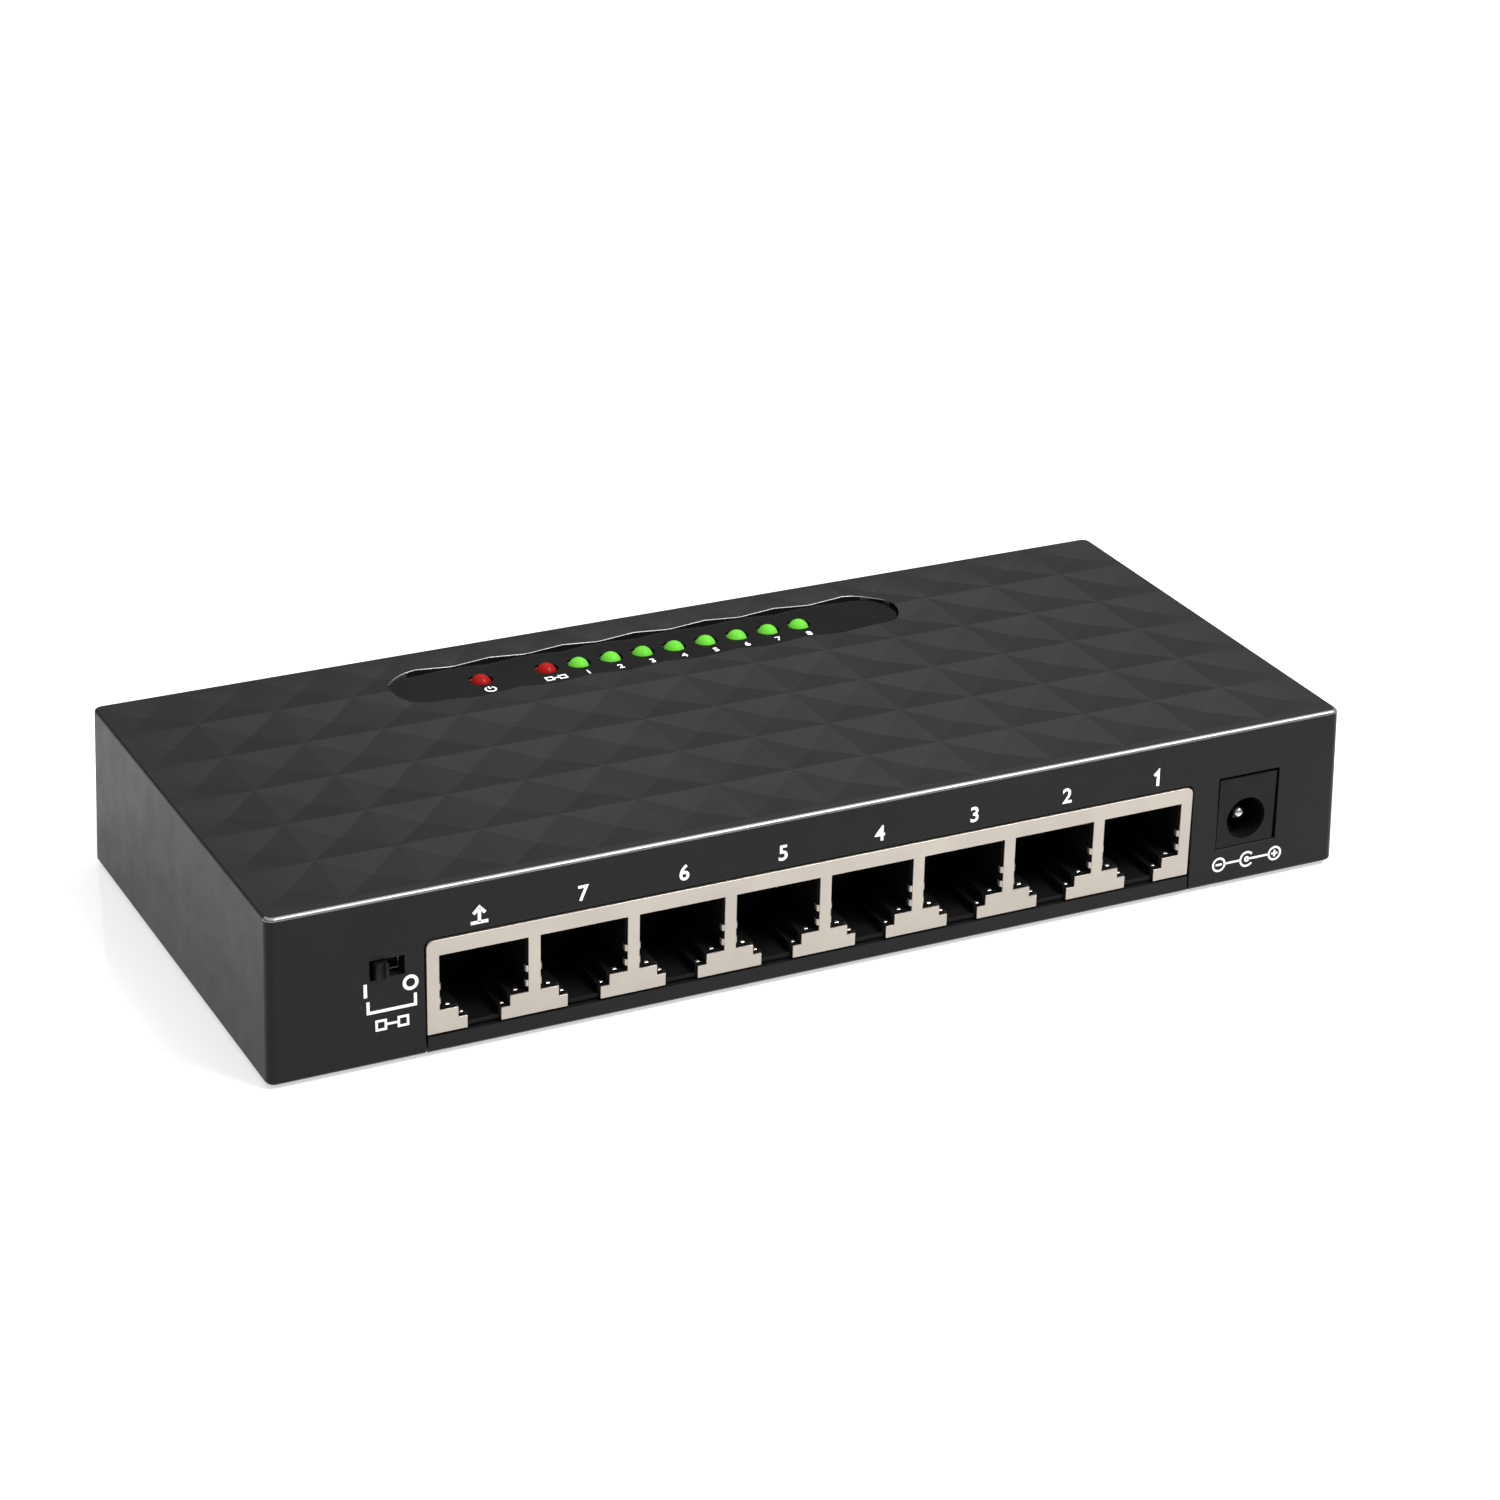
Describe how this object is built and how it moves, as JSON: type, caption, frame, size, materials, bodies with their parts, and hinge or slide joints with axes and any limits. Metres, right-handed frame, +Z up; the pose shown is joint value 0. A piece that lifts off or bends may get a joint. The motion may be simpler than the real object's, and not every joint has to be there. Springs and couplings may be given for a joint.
{
  "type": "desktop network switch",
  "caption": "Low rectangular desktop network switch: faceted black top with a lamp window, a row of network ports, a DC inlet and a small slide switch in front.",
  "frame": {"origin": "on the resting plane, under the middle of the case", "axes": "+Z up, the ports face -Y, +X to the right of someone who looks at the ports"},
  "size_m": [0.1594, 0.0714, 0.0239],
  "materials": {
    "case_plastic": "fine-textured satin black moulding",
    "window_film": "smooth dark printed film",
    "label_paper": "plain silver-grey label stock",
    "steel": "zinc-plated steel",
    "rubber": "matt black rubber",
    "board": "green solder mask",
    "shield_metal": "warm satin nickel plate",
    "connector_plastic": "satin black moulding",
    "contact_gold": "gold-plated spring wire",
    "phenolic": "brown phenolic board",
    "lamp_red": "red tinted diffused epoxy",
    "lamp_green": "green tinted diffused epoxy",
    "aluminium": "drawn can, sleeve left off",
    "ferrite": "pressed ferrite",
    "package_plastic": "moulded epoxy package"
  },
  "bodies": {
    "case": {"bottom_base": "case_plastic", "case_screw_1": "steel", "case_screw_2": "steel", "case_screw_3": "steel", "case_screw_4": "steel", "circuit_board": "board", "crystal": "steel", "dc_inlet_body": "connector_plastic", "dc_inlet_pin": "steel", "dc_inlet_spring": "steel", "input_capacitor": "aluminium", "jack_housing": "connector_plastic", "jack_shield": "shield_metal", "lamp_holder": "connector_plastic", "lamp_port_1": "lamp_green", "lamp_port_2": "lamp_green", "lamp_port_3": "lamp_green", "lamp_port_4": "lamp_green", "lamp_port_5": "lamp_green", "lamp_port_6": "lamp_green", "lamp_port_7": "lamp_green", "lamp_port_8": "lamp_green", "lamp_power": "lamp_red", "lamp_vlan": "lamp_red", "lamp_window_film": "window_film", "line_transformer_1": "package_plastic", "line_transformer_2": "package_plastic", "line_transformer_3": "package_plastic", "line_transformer_4": "package_plastic", "output_capacitor": "aluminium", "port_contacts_1": "contact_gold", "port_contacts_2": "contact_gold", "port_contacts_3": "contact_gold", "port_contacts_4": "contact_gold", "port_contacts_5": "contact_gold", "port_contacts_6": "contact_gold", "port_contacts_7": "contact_gold", "port_contacts_8": "contact_gold", "power_inductor": "ferrite", "power_regulator": "package_plastic", "rubber_foot_1": "rubber", "rubber_foot_2": "rubber", "rubber_foot_3": "rubber", "rubber_foot_4": "rubber", "slide_switch_base": "phenolic", "slide_switch_frame": "steel", "slide_switch_terminal_1": "steel", "slide_switch_terminal_2": "steel", "slide_switch_terminal_3": "steel", "switch_chip": "package_plastic", "top_cover": "case_plastic", "underside_label": "label_paper"},
    "slide_switch_knob": {"slide_switch_knob": "connector_plastic"}
  },
  "joints": [
    {"name": "slide_switch_travel", "type": "slide", "parent": "case", "child": "slide_switch_knob", "axis": [1, 0, 0], "range_m": [0, 0.00195]}
  ]
}
